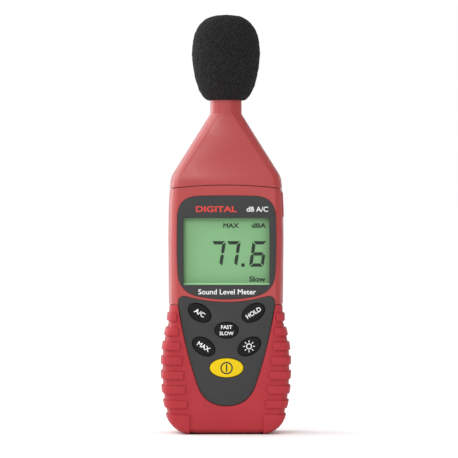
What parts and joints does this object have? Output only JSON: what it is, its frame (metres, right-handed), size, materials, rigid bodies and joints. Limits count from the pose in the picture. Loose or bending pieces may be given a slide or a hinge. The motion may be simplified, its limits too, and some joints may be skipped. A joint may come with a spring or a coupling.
{
  "type": "handheld sound level meter",
  "caption": "Upright handheld sound level meter with foam windscreen, tapered nose, green display, oval keys and ribbed red grip.",
  "frame": {"origin": "centre of the bottom of the bounding box, between the corner feet", "axes": "+Z along the length, microphone up; the display faces -Y; +X is the right side seen from the front"},
  "size_m": [0.0626, 0.038, 0.2],
  "materials": {
    "hard_red": "satin moulded red",
    "soft_red": "matte moulded red",
    "dark_grey": "fine matte grey",
    "key_black": "matte black silicone",
    "key_yellow": "matte yellow silicone",
    "foam": "open-cell foam",
    "clear_plastic": "clear acrylic",
    "lcd_green": "satin green polariser",
    "white_plastic": "white moulded",
    "grey_rubber": "matte grey",
    "board_green": "solder mask",
    "black_plastic": "black moulded",
    "steel": "bright",
    "brass": "machined",
    "red_wire": "wire insulation",
    "label": "printed film"
  },
  "bodies": {
    "meter_body": {"front_case": "hard_red", "rear_case": "hard_red", "nose_cone": "hard_red", "front_grip": "soft_red", "rear_grip": "soft_red", "display_bezel": "dark_grey", "keypad_panel": "dark_grey", "display_window": "clear_plastic", "lcd_glass": "lcd_green", "backlight_panel": "white_plastic", "backlight_led": "white_plastic", "mic_plug": "white_plastic", "mic_grommet": "grey_rubber", "zebra_strip_upper": "grey_rubber", "zebra_strip_lower": "grey_rubber", "keypad_mat": "grey_rubber", "main_board": "board_green", "lcd_frame": "black_plastic", "mic_capsule": "black_plastic", "mcu_chip": "black_plastic", "amplifier_chip": "black_plastic", "filter_capacitor": "black_plastic", "trimmer_body": "black_plastic", "battery_snap": "black_plastic", "mic_lead": "black_plastic", "battery_lead_black": "black_plastic", "mic_housing": "steel", "mic_grid": "steel", "dome_sheet": "steel", "crystal_can": "steel", "battery_can": "steel", "battery_terminal_positive": "steel", "battery_terminal_negative": "steel", "case_screw_upper_left": "steel", "case_screw_upper_right": "steel", "case_screw_lower_left": "steel", "case_screw_lower_right": "steel", "board_screw_left": "steel", "board_screw_right": "steel", "tripod_insert": "brass", "battery_lead_red": "red_wire", "rear_label": "label"},
    "windscreen": {"windscreen": "foam"},
    "battery_door": {"battery_door": "soft_red", "door_pad": "grey_rubber"},
    "door_screw": {"door_screw": "steel"},
    "trimmer_rotor": {"trimmer_rotor": "white_plastic"},
    "calibration_plug": {"calibration_plug": "soft_red"},
    "key_ac": {"key_ac": "key_black"},
    "key_hold": {"key_hold": "key_black"},
    "key_fast_slow": {"key_fast_slow": "key_black"},
    "key_max": {"key_max": "key_black"},
    "key_light": {"key_light": "key_black"},
    "key_power": {"key_power": "key_yellow"}
  },
  "joints": [
    {"name": "windscreen_pull", "type": "slide", "parent": "meter_body", "child": "windscreen", "axis": [0, 0, 1], "range_m": [0, 0.045]},
    {"name": "battery_door_hinge", "type": "hinge", "parent": "meter_body", "child": "battery_door", "pos_m": [0, 0.018, 0.058], "axis": [1, 0, 0], "range_deg": [0, 70]},
    {"name": "door_screw_turn", "type": "hinge", "parent": "battery_door", "child": "door_screw", "pos_m": [0, 0.0167, 0.0082], "axis": [0, 1, 0], "continuous": true},
    {"name": "trimmer_turn", "type": "hinge", "parent": "meter_body", "child": "trimmer_rotor", "pos_m": [0.0225, -0.0052, 0.109], "axis": [1, 0, 0], "range_deg": [-135, 135]},
    {"name": "calibration_plug_pull", "type": "slide", "parent": "meter_body", "child": "calibration_plug", "axis": [1, 0, 0], "range_m": [0, 0.008]},
    {"name": "key_ac_press", "type": "slide", "parent": "meter_body", "child": "key_ac", "axis": [0, 1, 0], "range_m": [0, 0.0008], "stiffness_N_per_m": 250, "springref_m": -0.0004},
    {"name": "key_hold_press", "type": "slide", "parent": "meter_body", "child": "key_hold", "axis": [0, 1, 0], "range_m": [0, 0.0008], "stiffness_N_per_m": 250, "springref_m": -0.0004},
    {"name": "key_fast_slow_press", "type": "slide", "parent": "meter_body", "child": "key_fast_slow", "axis": [0, 1, 0], "range_m": [0, 0.0008], "stiffness_N_per_m": 250, "springref_m": -0.0004},
    {"name": "key_max_press", "type": "slide", "parent": "meter_body", "child": "key_max", "axis": [0, 1, 0], "range_m": [0, 0.0008], "stiffness_N_per_m": 250, "springref_m": -0.0004},
    {"name": "key_light_press", "type": "slide", "parent": "meter_body", "child": "key_light", "axis": [0, 1, 0], "range_m": [0, 0.0008], "stiffness_N_per_m": 250, "springref_m": -0.0004},
    {"name": "key_power_press", "type": "slide", "parent": "meter_body", "child": "key_power", "axis": [0, 1, 0], "range_m": [0, 0.0008], "stiffness_N_per_m": 250, "springref_m": -0.0004}
  ]
}
